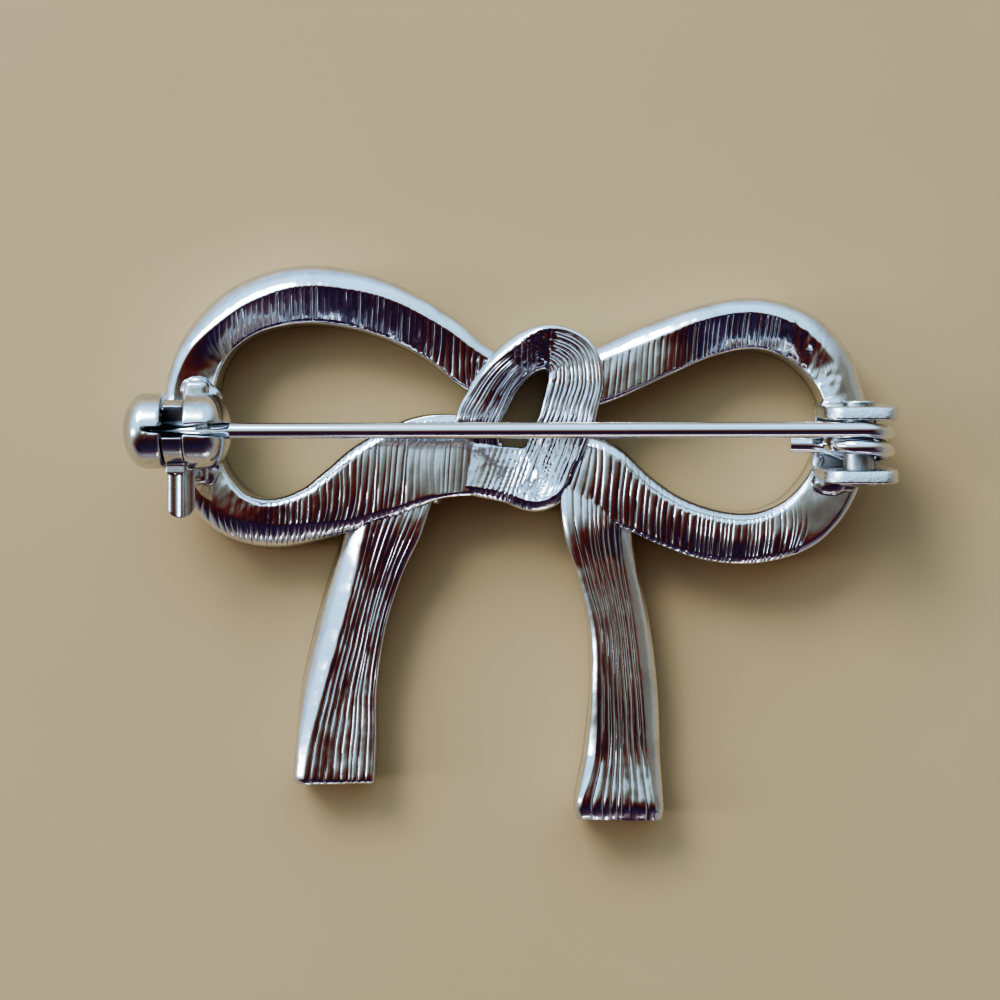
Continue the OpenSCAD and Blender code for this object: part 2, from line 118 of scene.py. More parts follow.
hinge_x, hinge_y, hinge_z = joint_place("pin_swing")
catch_x, pin_y, catch_z = joint_place("catch_turn")
coil_step = wire_d + coil_gap
ear_gap = coil_turns * coil_step + wire_d + 2 * side_gap
foot_z = cast_t - foot_t + solder_h
foot_top = foot_z + foot_t
bore_out, bore_in = barrel_out - dome_l + side_gap, barrel_in - dome_l + side_gap

# Sections of the ribbons. Places are shares of half the bow's width and height, widths and
# run-ins are shares of ribbon_w, and heights are shares of cast_t. The first side is a loop's
# outer one and a tail's left one.
# x, y: middle; width: at the widest line; run_a, top_a: the back's edge on the first side, in
# from the widest line, and its height; run_b, top_b: the same on the second side; front: height
LEFT_LOOP = [
    [ 0.000, 0.560, 0.90, 0.20, 0.80, 0.10, 0.76, 0.20],
    [-0.115, 0.640, 0.91, 0.24, 0.88, 0.06, 0.78, 0.18],
    [-0.220, 0.745, 0.94, 0.30, 0.95, 0.06, 0.76, 0.14],
    [-0.360, 0.840, 1.04, 0.37, 1.00, 0.08, 0.76, 0.08],
    [-0.495, 0.890, 1.10, 0.44, 1.00, 0.08, 0.74, 0.03],
    [-0.625, 0.900, 1.11, 0.48, 1.00, 0.08, 0.74, 0.00],
    [-0.755, 0.860, 1.04, 0.52, 1.00, 0.06, 0.74, 0.00],
    [-0.850, 0.775, 0.93, 0.45, 1.01, 0.05, 0.76, 0.00],
    [-0.905, 0.665, 0.89, 0.27, 1.02, 0.05, 0.86, 0.00],
    [-0.930, 0.535, 0.91, 0.20, 1.00, 0.05, 0.94, 0.00],
    [-0.930, 0.400, 0.94, 0.28, 0.98, 0.06, 1.00, 0.00],
    [-0.910, 0.270, 0.98, 0.32, 0.97, 0.08, 1.00, 0.00],
    [-0.860, 0.165, 0.99, 0.42, 0.95, 0.12, 1.00, 0.00],
    [-0.785, 0.095, 0.95, 0.46, 0.95, 0.15, 1.00, 0.00],
    [-0.685, 0.075, 0.96, 0.48, 0.95, 0.16, 1.00, 0.00],
    [-0.580, 0.110, 1.05, 0.36, 0.94, 0.20, 1.00, 0.04],
    [-0.490, 0.165, 1.30, 0.24, 0.90, 0.22, 1.00, 0.08],
    [-0.390, 0.235, 1.55, 0.20, 0.92, 0.22, 0.98, 0.12],
    [-0.255, 0.310, 1.59, 0.10, 0.94, 0.17, 0.91, 0.16],
    [-0.130, 0.320, 1.48, 0.08, 0.91, 0.14, 0.87, 0.18],
    [-0.060, 0.320, 1.40, 0.08, 0.66, 0.14, 0.60, 0.20],
]
RIGHT_LOOP = [
    [ 0.130, 0.560, 1.00, 0.25, 0.86, 0.10, 0.85, 0.20],
    [ 0.245, 0.610, 1.08, 0.32, 0.90, 0.10, 0.89, 0.18],
    [ 0.395, 0.695, 1.07, 0.36, 0.96, 0.08, 0.94, 0.12],
    [ 0.550, 0.770, 0.99, 0.33, 1.00, 0.07, 0.79, 0.05],
    [ 0.685, 0.795, 0.96, 0.33, 1.00, 0.05, 0.79, 0.00],
    [ 0.805, 0.755, 0.97, 0.40, 1.00, 0.05, 0.79, 0.00],
    [ 0.895, 0.655, 0.94, 0.45, 1.00, 0.05, 0.85, 0.00],
    [ 0.938, 0.535, 0.84, 0.44, 1.00, 0.05, 0.95, 0.00],
    [ 0.948, 0.400, 0.85, 0.28, 1.00, 0.05, 0.99, 0.00],
    [ 0.920, 0.265, 0.94, 0.18, 1.00, 0.08, 0.98, 0.00],
    [ 0.870, 0.155, 1.00, 0.14, 1.00, 0.14, 0.98, 0.00],
    [ 0.795, 0.070, 1.01, 0.14, 0.98, 0.18, 0.99, 0.00],
    [ 0.685, 0.027, 0.97, 0.14, 0.94, 0.23, 1.00, 0.00],
    [ 0.565, 0.035, 0.99, 0.12, 0.90, 0.25, 1.00, 0.03],
    [ 0.445, 0.085, 1.00, 0.10, 0.90, 0.25, 1.00, 0.08],
    [ 0.345, 0.155, 1.10, 0.08, 0.90, 0.25, 1.00, 0.13],
    [ 0.240, 0.235, 1.40, 0.08, 0.90, 0.24, 1.00, 0.16],
    [ 0.160, 0.280, 1.30, 0.08, 0.88, 0.20, 0.93, 0.20],
]
LEFT_TAIL = [
    [-0.320, 0.220, 1.20, 0.20, 0.80, 0.05, 0.80, 0.20],
    [-0.370, 0.085, 1.36, 0.34, 0.85, 0.07, 0.82, 0.18],
    [-0.425,-0.075, 1.30, 0.46, 0.76, 0.05, 0.68, 0.14],
    [-0.475,-0.280, 1.30, 0.51, 0.73, 0.05, 0.64, 0.08],
    [-0.510,-0.510, 1.40, 0.46, 0.73, 0.05, 0.63, 0.02],
    [-0.520,-0.695, 1.50, 0.32, 0.75, 0.05, 0.65, 0.00],
    [-0.525,-0.840, 1.50, 0.24, 0.77, 0.05, 0.68, 0.00],
    [-0.525,-0.862, 1.40, 0.22, 0.72, 0.05, 0.62, 0.06],
]
RIGHT_TAIL = [
    [ 0.228, 0.330, 1.20, 0.08, 0.80, 0.13, 0.80, 0.20],
    [ 0.230, 0.100, 1.30, 0.11, 0.98, 0.20, 0.88, 0.18],
    [ 0.262,-0.070, 1.16, 0.07, 0.95, 0.28, 0.74, 0.14],
    [ 0.300,-0.285, 1.16, 0.11, 0.95, 0.33, 0.71, 0.08],
    [ 0.315,-0.525, 1.29, 0.12, 0.95, 0.35, 0.71, 0.02],
    [ 0.310,-0.750, 1.44, 0.19, 0.90, 0.30, 0.67, 0.00],
    [ 0.300,-0.920, 1.63, 0.12, 0.98, 0.20, 0.80, 0.00],
    [ 0.298,-0.985, 1.60, 0.14, 0.88, 0.18, 0.73, 0.06],
]
KNOT = [
    [-0.108, 0.235, 0.80, 0.08, 0.70, 0.06, 0.68, 0.22],
    [-0.110, 0.425, 0.84, 0.08, 0.92, 0.07, 0.86, 0.04],
    [-0.080, 0.515, 0.82, 0.09, 0.96, 0.08, 0.87, 0.00],
    [-0.040, 0.600, 0.80, 0.14, 1.00, 0.10, 0.89, 0.00],
    [ 0.018, 0.675, 0.84, 0.24, 1.04, 0.13, 0.91, 0.00],
    [ 0.090, 0.700, 0.86, 0.09, 1.06, 0.16, 0.92, 0.00],
    [ 0.155, 0.662, 0.98, 0.08, 1.06, 0.13, 0.93, 0.00],
    [ 0.170, 0.588, 1.02, 0.08, 1.06, 0.10, 0.92, 0.00],
    [ 0.157, 0.509, 1.02, 0.08, 1.04, 0.08, 0.88, 0.00],
    [ 0.140, 0.427, 1.02, 0.08, 1.00, 0.06, 0.82, 0.00],
    [ 0.108, 0.325, 1.06, 0.12, 0.96, 0.05, 0.72, 0.02],
    [ 0.064, 0.238, 1.24, 0.20, 0.92, 0.05, 0.66, 0.05],
    [-0.020, 0.248, 1.06, 0.22, 0.90, 0.05, 0.72, 0.08],
    [-0.110, 0.265, 1.00, 0.20, 0.93, 0.06, 0.87, 0.12],
    [-0.200, 0.280, 0.94, 0.16, 0.88, 0.06, 0.83, 0.16],
]
# Row after which the knot's ribbon crosses its own start, so it is cast as two lengths
KNOT_CUT = 8
# Rows between which the knot has upright ribs
KNOT_FINE = [(3.4, 6.0), (8.9, 13.4)]

# How the cast surface changes along a ribbon.
# row: place in the ribbon's table; ribs: depth of the ribs on the back, and band_ribs: on the
# first side's band, as shares of rib_depth; dents: depth of the uneven patches; fold: height of
# the fold along the back, in millimetres
LEFT_LOOP_CAST = [
    [ 0.0, 0.8, 0.0, 0.2, 0.00],
    [ 6.4, 1.0, 0.0, 0.2, 0.00],
    [ 7.1, 0.6, 0.0, 0.8, 0.10],
    [ 7.6, 0.0, 0.0, 1.2, 0.06],
    [ 9.3, 0.0, 0.0, 1.2,-0.14],
    [ 9.8, 0.0, 0.0, 0.2, 0.00],
    [11.0, 0.0, 0.6, 0.5, 0.00],
    [13.5, 0.1, 1.0, 0.4, 0.00],
    [14.3, 0.9, 1.0, 0.2, 0.00],
    [17.3, 1.0, 1.0, 0.2, 0.00],
    [17.7, 0.3, 0.2, 0.3, 0.00],
    [20.0, 0.2, 0.1, 0.3, 0.00],
]
RIGHT_LOOP_CAST = [
    [ 0.0, 0.3, 0.0, 0.2, 0.00],
    [ 2.0, 0.4, 0.0, 0.2, 0.00],
    [ 2.8, 1.0, 0.0, 0.2, 0.00],
    [ 4.6, 1.0, 0.0, 0.3, 0.00],
    [ 4.9, 0.1, 0.0, 1.6, 0.00],
    [ 6.6, 0.0, 0.0, 1.6, 0.00],
    [ 7.2, 0.0, 0.0, 0.2, 0.00],
    [10.6, 0.0, 0.0, 0.2, 0.00],
    [11.2, 1.0, 0.9, 0.2, 0.06],
    [13.0, 1.0, 0.9, 0.2, 0.10],
    [14.0, 1.0, 0.9, 0.2, 0.03],
    [17.0, 1.0, 0.9, 0.2, 0.00],
]
LEFT_TAIL_CAST = [
    [0.0, 0.5, 0.0, 0.2, 0.00],
    [2.2, 0.5, 0.0, 0.2, 0.00],
    [3.0, 0.8, 0.0, 0.2, 0.00],
    [3.8, 0.7, 0.0, 0.2,-0.12],
    [6.0, 0.7, 0.0, 0.2,-0.12],
    [7.0, 0.8, 0.0, 0.2,-0.06],
]
RIGHT_TAIL_CAST = [
    [0.0, 1.0, 0.0, 0.2, 0.00],
    [2.0, 1.1, 0.0, 0.2, 0.05],
    [5.0, 1.1, 0.0, 0.2, 0.05],
    [5.8, 0.8, 0.0, 0.6, 0.00],
    [7.0, 0.8, 0.0, 0.8, 0.00],
]
# The knot has ribs along the ribbon on its legs, and upright ones over its arch and its bowl.
# row, ribs, upright: depths; dents: depth; fold: height
KNOT_CAST = [
    [ 0.0, 0.4, 0.0, 0.3, 0.08],
    [ 3.4, 0.4, 0.0, 0.4, 0.10],
    [ 3.8, 0.0, 0.9, 1.0, 0.00],
    [ 5.1, 0.0, 0.9, 0.8, 0.00],
    [ 5.4, 0.8, 0.0, 0.4, 0.00],
    [ 6.1, 0.9, 0.0, 0.2, 0.00],
    [ 9.0, 1.0, 0.0, 0.1, 0.00],
    [ 9.4, 0.0, 1.3, 0.2, 0.00],
    [12.4, 0.0, 1.3, 0.1, 0.00],
    [12.8, 0.0, 0.3, 0.1, 0.00],
    [13.4, 0.0, 0.1, 0.2, 0.00],
    [14.0, 0.0, 0.1, 0.2, 0.00],
]
# How far the upright ribs lean to the right at their tops, in degrees
rib_lean, bowl_lean = 4, 20
# Fillets in the crooks between the ribbons
# x, y: place; r: radius; top: height
CROOKS = [
    [-0.232, 0.172, 0.16, 0.80],
    [ 0.250, 0.362, 0.14, 0.84],
    [ 0.300, 0.060, 0.15, 0.74],
    [-0.051, 0.353, 0.13, 0.72],
]
# Section of the lever's tab, which is folded from sheet
# x, z: from the middle of the groove, and from the rotor's axis, in millimetres
LEVER_FOLD = [
    (-0.60,-0.32), (-0.50,-0.05), (-0.47, 0.12), (-0.38, 0.25), (-0.26, 0.29),
    (-0.14, 0.25), (-0.02, 0.20), ( 0.10, 0.20), ( 0.20, 0.25), ( 0.29, 0.30),
    ( 0.38, 0.28), ( 0.46, 0.18), ( 0.56, 0.02), ( 0.74,-0.10), ( 0.92,-0.18),
    ( 1.01,-0.26), ( 1.02,-0.32),
]
# Lumps of solder at the feet of the hinge and of the catch
# x, y, z: middle, from the fitting's axis and the casting's back; a, b, c: half of its sizes along
# X, Y and Z; all in millimetres
HINGE_SOLDER = [
    [-1.2,-2.1,-0.1, 1.10, 0.85, 0.65],
    [-0.4,-2.2,-0.1, 0.90, 0.55, 0.40],
    [-1.8,-0.9,-0.2, 0.50, 0.90, 0.35],
    [-1.8, 0.4,-0.2, 0.50, 0.90, 0.35],
    [-1.0, 2.3,-0.2, 0.80, 0.50, 0.40],
    [ 0.3, 2.2,-0.2, 0.70, 0.40, 0.35],
]
CATCH_SOLDER = [
    [ 0.8, 2.5,-0.1, 1.00, 0.75, 0.45],
    [ 1.6, 2.0,-0.2, 0.70, 0.70, 0.50],
    [ 1.5,-2.4,-0.2, 0.60, 0.70, 0.50],
    [ 0.7,-2.5,-0.2, 0.70, 0.60, 0.40],
    [ 1.7,-0.2,-0.1, 0.50, 1.50, 0.40],
]
# The room that the plating reflects, from its dark side to the window's
# place, colour
ROOM = [
    (0.00, (0.120, 0.120, 0.140, 1)),
    (0.08, (0.045, 0.020, 0.030, 1)),
    (0.18, (0.014, 0.010, 0.034, 1)),
    (0.30, (0.016, 0.006, 0.012, 1)),
    (0.37, (0.050, 0.010, 0.009, 1)),
    (0.42, (0.066, 0.016, 0.011, 1)),
    (0.45, (0.060, 0.058, 0.050, 1)),
    (0.52, (0.115, 0.125, 0.112, 1)),
    (0.56, (0.220, 0.275, 0.300, 1)),
    (0.64, (0.250, 0.400, 0.540, 1)),
    (1.00, (0.320, 0.520, 0.720, 1)),
]

# Stretches of a section, in their order round it
FRONT, ROUND_A, WALL_A, BAND_A, BACK, BAND_B, WALL_B, ROUND_B = range(8)
# Columns of the tables of the cast surface. SIDE_RIBS are a loop's band_ribs and the knot's
# upright ones.
RIBS, SIDE_RIBS, DENTS, FOLD = range(1, 5)


def bow_at(x, y):
    """A place on the bow, from shares of half its width and height."""
    return np.array([bow_x + x * bow_w / 2, y * bow_h / 2])


def spline(rows, t):
    """Rows of a table at t, on the curve through them."""
    last = len(rows) - 1
    i = np.clip(np.floor(t).astype(int), 0, last - 1)
    f = (t - i)[..., None]
    a, b = rows[np.maximum(i - 1, 0)], rows[i]
    c, d = rows[i + 1], rows[np.minimum(i + 2, last)]
    return (2 * b + (c - a) * f + (2 * a - 5 * b + 4 * c - d) * f**2
            + (3 * b - a - 3 * c + d) * f**3) / 2


def unit(v):
    return v / np.linalg.norm(v, axis=-1, keepdims=True)


def noise_at(points, scale, seed):
    """Smooth noise from -1 to 1 at each point, with about scale details in a millimetre."""
    flat = points.reshape(-1, 3) * scale + seed * 17.3
    return np.array([noise.noise(p) for p in flat]).reshape(points.shape[:-1])


def noise_over(x, y, seed):
    """Smooth noise over two numbers, such as a rib's and a place along it."""
    x, y = np.broadcast_arrays(x, y)
    return noise_at(np.stack([x, y, np.zeros(x.shape)], axis=-1), 1.0, seed)


def dents_at(points, scale, seed):
    """Flat-sided dents, from 0 at their rims to 1 at their middles."""
    flat = points.reshape(-1, 3) * scale + seed * 11.9
    near = np.array([noise.voronoi(p)[0][0] for p in flat])
    return 1 - np.clip(near, 0, 1).reshape(points.shape[:-1])


def turn_outwards(mesh):
    shape = bmesh.new()
    shape.from_mesh(mesh)
    bmesh.ops.recalc_face_normals(shape, faces=shape.faces)
    shape.to_mesh(mesh)
    shape.free()


def mesh_object(name, corners, faces):
    """An object from corners in millimetres."""
    mesh = bpy.data.meshes.new(name)
    mesh.from_pydata((np.asarray(corners, dtype=float) * MM).tolist(), [], faces)
    made = bpy.data.objects.new(name, mesh)
    bpy.context.scene.collection.objects.link(made)
    turn_outwards(mesh)
    return made


def skin(name, grid):
    """A closed solid over a grid of rings, with a flat face at each end."""
    rings, count = grid.shape[:2]
    index = np.arange(rings * count).reshape(rings, count)
    beside = np.roll(index, -1, axis=1)
    walls = np.stack([index[:-1], beside[:-1], beside[1:], index[1:]], axis=-1).reshape(-1, 4)
    faces = walls.tolist() + [index[0, ::-1].tolist(), index[-1].tolist()]
    return mesh_object(name, grid.reshape(-1, 3), faces)


def applied(thing):
    """Puts what an object's modifiers make into its mesh."""
    depsgraph = bpy.context.evaluated_depsgraph_get()
    mesh = bpy.data.meshes.new_from_object(thing.evaluated_get(depsgraph))
    old = thing.data
    thing.modifiers.clear()
    thing.data = mesh
    bpy.data.meshes.remove(old)
    return thing


def combine(thing, others, operation):
    """Joins the others to a solid, or cuts them from it, and deletes them."""
    for other in others:
        step = thing.modifiers.new(operation.lower(), "BOOLEAN")
        step.operation = operation
        step.solver = "MANIFOLD"
        step.object = other
    applied(thing)
    for other in others:
        mesh = other.data
        bpy.data.objects.remove(other)
        bpy.data.meshes.remove(mesh)
    return thing


def soften(thing, grain, passes):
    """Rounds every edge of a solid, as plating and polishing do, in steps of one grain."""
    remesh = thing.modifiers.new("grain", "REMESH")
    remesh.mode = "VOXEL"
    remesh.voxel_size = grain * MM
    smooth = thing.modifiers.new("polish", "SMOOTH")
    smooth.factor = 0.5
    smooth.iterations = passes
    return applied(thing)


def bevelled(thing, width, segments):
    bevel = thing.modifiers.new("edge", "BEVEL")
    bevel.width = width * MM
    bevel.segments = segments
    bevel.limit_method = "ANGLE"
    bevel.angle_limit = math.radians(30)
    return applied(thing)


def circle(way, out, sides):
    """Points round a circle of radius 1 that is square to a way and starts at out."""
    angles = np.linspace(0, 2 * math.pi, sides, endpoint=False)[:, None]
    return np.cos(angles) * out + np.sin(angles) * np.cross(way, out)


def lathe(name, profile, place, axis, sides=96):
    """Turns a profile of (distance along the axis, radius) round an axis through place."""
    axis = unit(np.array(axis, dtype=float))
    out = unit(np.cross(axis, [0, 0, 1] if abs(axis[2]) < 0.9 else [0, 1, 0]))
    ring = circle(axis, out, sides)
    rings = [np.array(place) + axis * x + ring * max(r, 1e-4) for x, r in profile]
    return skin(name, np.stack(rings))


def prism(name, outline, start, end, axis):
    """An outline carried along an axis, from start to end. Its numbers are the other two axes, in
    their order."""
    outline = np.array(outline, dtype=float)
    corners = np.concatenate([np.insert(outline, axis, at, axis=1) for at in (start, end)])
    count = len(outline)
    faces = [list(range(count)), list(range(2 * count - 1, count - 1, -1))]
    faces += [[i, (i + 1) % count, (i + 1) % count + count, i + count] for i in range(count)]
    return mesh_object(name, corners, faces)


def block(name, low, high):
    (x0, y0, z0), (x1, y1, z1) = low, high
    return prism(name, [(x0, z0), (x1, z0), (x1, z1), (x0, z1)], y0, y1, axis=1)


class Ribbon:
    """A cast ribbon: the curve through its sections' middles and its surface round them."""

    def __init__(self, table, side, cast):
        self.table = np.array(table)
        self.side = side
        self.cast = np.array(cast)
        self.t = np.linspace(0, len(table) - 1, 4001)
        rows = spline(self.table, self.t)
        self.middles = np.stack(bow_at(rows[:, 0], rows[:, 1]), axis=-1)
        steps = np.linalg.norm(np.diff(self.middles, axis=0), axis=1)
        self.s = np.concatenate([[0], np.cumsum(steps)])
        self.length = self.s[-1]
        self.ways = unit(np.gradient(self.middles, self.s, axis=0))

    def row_at(self, s):
        return np.interp(s, self.s, self.t)

    def between(self, s, values):
        return np.stack([np.interp(s, self.s, values[:, k]) for k in (0, 1)], axis=-1)

    def way_at(self, s):
        return unit(self.between(s, self.ways))

    def side_at(self, s):
        """The way to the ribbon's first side, square to its own."""
        way = self.way_at(s)
        return self.side * np.stack([-way[..., 1], way[..., 0]], axis=-1)

    def cast_at(self, s, column):
        return np.interp(self.row_at(s), self.cast[:, 0], self.cast[:, column])

    def section(self, s, stretch, share):
        """How far a section's points lie to the first side, and their heights."""
        row = spline(self.table, self.row_at(s))
        _, _, width, run_a, high_a, run_b, high_b, front = np.moveaxis(row, -1, 0)
        half = width * ribbon_w / 2
        run_a, run_b = run_a * ribbon_w, run_b * ribbon_w
        high_a, high_b = high_a * cast_t, high_b * cast_t
        front = np.maximum(front, 0) * cast_t
        wide = np.maximum(edge_h, front + edge_h / 2)
        sloping = 1 - shoulder_in
        shoulder_a = high_a - run_a * sloping * band_slope
        shoulder_b = high_b - run_b * sloping * band_slope
        on_round = np.where(stretch == ROUND_A, share, 1 - share) * math.pi / 2
        flat = half - front_round
        round_out = flat + front_round * np.sin(on_round)
        round_high = wide - (wide - front) * np.cos(on_round)
        bulge = band_bulge * np.sin(math.pi * share)
        across = 2 * half - run_a - run_b
        fold = np.clip(np.minimum(share / fold_at, (1 - share) / (1 - fold_at)), 0, 1)
        raised = crown * across * 4 * share * (1 - share) + fold * self.cast_at(s, FOLD)
        places = {
            FRONT: (flat * (2 * share - 1), front),
            ROUND_A: (round_out, round_high),
            WALL_A: (half - run_a * shoulder_in * share,
                     wide + (shoulder_a - wide) * share),
            BAND_A: (half - run_a * (shoulder_in + sloping * share - bulge),
                     shoulder_a + (high_a - shoulder_a) * share + run_a * bulge),
            BACK: (half - run_a - across * share,
                   high_a + (high_b - high_a) * share + raised),
            BAND_B: (-half + run_b * (1 - sloping * share - bulge),
                     high_b + (shoulder_b - high_b) * share + run_b * bulge),
            WALL_B: (-half + run_b * shoulder_in * (1 - share),
                     shoulder_b + (wide - shoulder_b) * share),
            ROUND_B: (-round_out, round_high),
        }
        on = [stretch == k for k in places]
        outs, highs = zip(*places.values())
        return np.select(on, outs), np.select(on, highs)

    def surface(self, s, stretch, share):
        """Places of a section's points in the brooch."""
        out, high = self.section(s, stretch, share)
        place = self.between(s, self.middles) + out[..., None] * self.side_at(s)
        return np.concatenate([place, high[..., None]], axis=-1)

    def slant(self, s, lean):
        """How far each row shifts along the ribbon, for each step out from its middle, so that it
        runs up the brooch at this lean. It fades out where the ribbon itself runs upright."""
        way = self.way_at(s)
        upright = np.array([math.sin(math.radians(lean)), math.cos(math.radians(lean))])
        rise = self.side_at(s) @ upright
        shift = (way @ upright) / np.where(np.abs(rise) < 0.05, 0.05, rise)
        ends = np.clip(np.minimum(s, self.length - s) / slant_run, 0, 1)
        level = np.clip((np.abs(way[:, 0]) - 0.35) / 0.35, 0, 1)
        return np.clip(shift, -most_slant, most_slant) * ends * level


def section_shares(back):
    """The stretch and share of each point round a section; back: the shares across the back."""
    edge = 0.06
    points = [(FRONT, 0.0), (FRONT, 0.5), (ROUND_A, 0.0), (ROUND_A, 0.45)]
    points += [(WALL_A, f) for f in (0.0, 0.6, 0.94)]
    points += [(BAND_A, f) for f in (0.07, 0.22, 0.45, 0.7, 1 - edge)]
    points += [(BACK, f) for f in back]
    points += [(BAND_B, f) for f in (edge, 0.5, 0.92)]
    points += [(WALL_B, f) for f in (0.06, 0.5)]
    points += [(ROUND_B, 0.0), (ROUND_B, 0.5)]
    stretch, share = zip(*points)
    return np.array(stretch), np.array(share)


def outwards(grid, stretch):
    """Unit normals of a grid of rings, pointing out of the metal."""
    along = np.gradient(grid, axis=0)
    around = np.roll(grid, -1, axis=1) - np.roll(grid, 1, axis=1)
    normals = np.cross(around, along)
    normals /= np.maximum(np.linalg.norm(normals, axis=-1, keepdims=True), 1e-9)
    flip = np.sign(normals[:, stretch == BACK, 2].mean())
    return normals * flip


def rounded_corners(grid, stretch):
    """Takes the sharp line off both edges of the back."""
    back = np.flatnonzero(stretch == BACK)
    for j in (back[0], back[-1]):
        grid[:, j] = grid[:, j] / 2 + (grid[:, j - 1] + grid[:, j + 1]) / 4
    return grid


def tipped(share, depth, tip):
    """Depth at a share of a rib's width whose flat top is tipped sideways."""
    return depth + tip * (2 * share - 1) * (1 - depth)


def rib_steps(ribbon, luck):
    """Places along a ribbon that is ribbed from side to side: a row for each point of a rib, or
    of a plain stretch. Gives the places, each one's depth in its rib and its rib's number. A rib
    is cut upright, so it is longer where the ribbon itself runs steeply."""
    rows = []
    s, rib = 0.0, 0
    while s < ribbon.length:
        if max(ribbon.cast_at(s, RIBS), ribbon.cast_at(s, SIDE_RIBS)) > 0.05:
            level = max(abs(ribbon.way_at(np.array([s]))[0, 0]), 0.6)
            width = rib_pitch * luck.uniform(0.6, 1.5) / level
            tip = rib_tip * luck.uniform(-1, 1)
            rows += [(s + share * width, tipped(share, depth, tip), rib) for share, depth in RIB]
            s += width
        else:
            rows.append((s, 0.0, rib))
            s += plain_step
        rib += 1
    rows = [row for row in rows if row[0] < ribbon.length - 0.02]
    rows.append((ribbon.length, 0.0, rib))
    return [np.array(column) for column in zip(*rows)]


def ribbed_loop(name, table, side, cast, seed):
    """A loop's ribbon, with ribs across its back that run straight up the brooch."""
    luck = random.Random(seed)
    ribbon = Ribbon(table, side, cast)
    places, depths, ribs = rib_steps(ribbon, luck)
    stretch, share = section_shares([0, *np.linspace(0.04, 0.96, 8), 1])
    s = np.repeat(places[:, None], len(stretch), axis=1)
    out, _ = ribbon.section(s, stretch, share)
    s = np.clip(s + out * ribbon.slant(places, rib_lean)[:, None], 0, ribbon.length)
    grid = rounded_corners(ribbon.surface(s, stretch, share), stretch)
    normals = outwards(grid, stretch)
    depth_of = np.array([luck.uniform(0.45, 1.15) for _ in range(ribs[-1] + 1)])
    uneven = np.clip(0.85 + 0.9 * noise_over(ribs[:, None] * 5.3, share * 2.6, seed), 0.15, 1.5)
    on_band = (stretch == BAND_A) & (share < 0.9)
    on_back = (stretch == BACK) & (share > 0)
    strength = np.select([on_band, on_back, stretch == BAND_B], [
        ribbon.cast_at(s, SIDE_RIBS),
        ribbon.cast_at(s, RIBS),
        0.5 * (1 - share) * ribbon.cast_at(s, RIBS),
    ])
    deep = rib_depth * strength * depths[:, None] * depth_of[ribs][:, None] * uneven
    return finished_casting(name, ribbon, s, stretch, share, grid, normals, deep, seed)


def finished_casting(name, ribbon, s, stretch, share, grid, normals, deep, seed):
    """Cuts the ribs in, lays the casting's uneven surface over them, keeps it inside the CAD's box
    and closes the solid."""
    waves = wave_h * noise_at(grid, waves_in, seed) + ripple_h * noise_at(grid, ripples_in, seed + 1)
    dents = dent_h * (dents_at(grid, dents_in, seed) - 2 / 3)
    bumps = bump_h * noise_at(grid, bumps_in, seed + 2)
    pits = pit_h * noise_at(grid, pits_in, seed + 3)
    beside_fold = np.where(ribbon.cast_at(s, FOLD) == 0, 1, np.clip((share - 0.4) / 0.1, 0, 1))
    dents = ribbon.cast_at(s, DENTS) * (dents + bumps + pits) * beside_fold
    streaks = streak_h * noise_over(s * 0.5, share * 7, seed + 4)
    on_band = (stretch == BAND_A) | (stretch == BAND_B)
    uneven = np.select([stretch == BACK, on_band], [waves + dents, waves + streaks])
    grid = grid + normals * (uneven - deep)[..., None]
    low, high = np.array(cad_box) / MM
    return skin(name, np.clip(grid, low, high))


def upright_ribs(grid, lean, seed):
    """Depth, from 0 to 1, of ribs that run straight up the brooch at a lean."""
    luck = random.Random(seed)
    edges = [-bow_w / 2]
    while edges[-1] < bow_w / 2:
        edges.append(edges[-1] + rib_pitch * luck.uniform(0.5, 1.5))
    edges = np.array(edges)
    depth_of = np.array([luck.uniform(0.3, 1.2) for _ in edges])
    turn = math.radians(lean)
    across = grid[..., 0] * math.cos(turn) - grid[..., 1] * math.sin(turn)
    across = across + 0.07 * noise_at(grid, 0.8, seed + 3)
    rib = np.clip(np.searchsorted(edges, across) - 1, 0, len(edges) - 2)
    share = (across - edges[rib]) / (edges[rib + 1] - edges[rib])
    uneven = np.clip(0.85 + 0.7 * noise_over(rib * 3.7, grid[..., 1] * 0.9, seed + 4), 0, 1.5)
    tips = rib_tip * np.array([luck.uniform(-1, 1) for _ in edges])
    depth = np.abs(2 * np.clip(share, 0, 1) - 1) ** 3
    return tipped(share, depth, tips[rib]) * depth_of[rib] * uneven


def row_places(ribbon, row_step, fine_rows):
    """Places of the sections along a ribbon: row_step apart, and closer between the fine rows."""
    places = [0.0]
    while places[-1] < ribbon.length:
        row = ribbon.row_at(places[-1])
        fine = any(low < row < high for low, high in fine_rows)
        places.append(places[-1] + (fine_step if fine else row_step))
    return np.append(np.array(places[:-1]), ribbon.length)


def groove_points(grooves, luck):
    """Points across a back with grooves along it: each one's share of the width, its depth in its
    rib and its rib's number."""
    widths = np.array([luck.uniform(0.6, 1.4) for _ in range(grooves)])
    edges = np.concatenate([[0], np.cumsum(widths) / widths.sum()])
    points = []
    for rib, (start, end) in enumerate(zip(edges[:-1], edges[1:])):
        tip = rib_tip * luck.uniform(-1, 1)
        for place, depth in RIB:
            share = start + (end - start) * place
            points.append((share, tipped(place, depth, tip) if share > 0 else 0, rib))
    points.append((1.0, 0, grooves - 1))
    return [np.array(column) for column in zip(*points)]


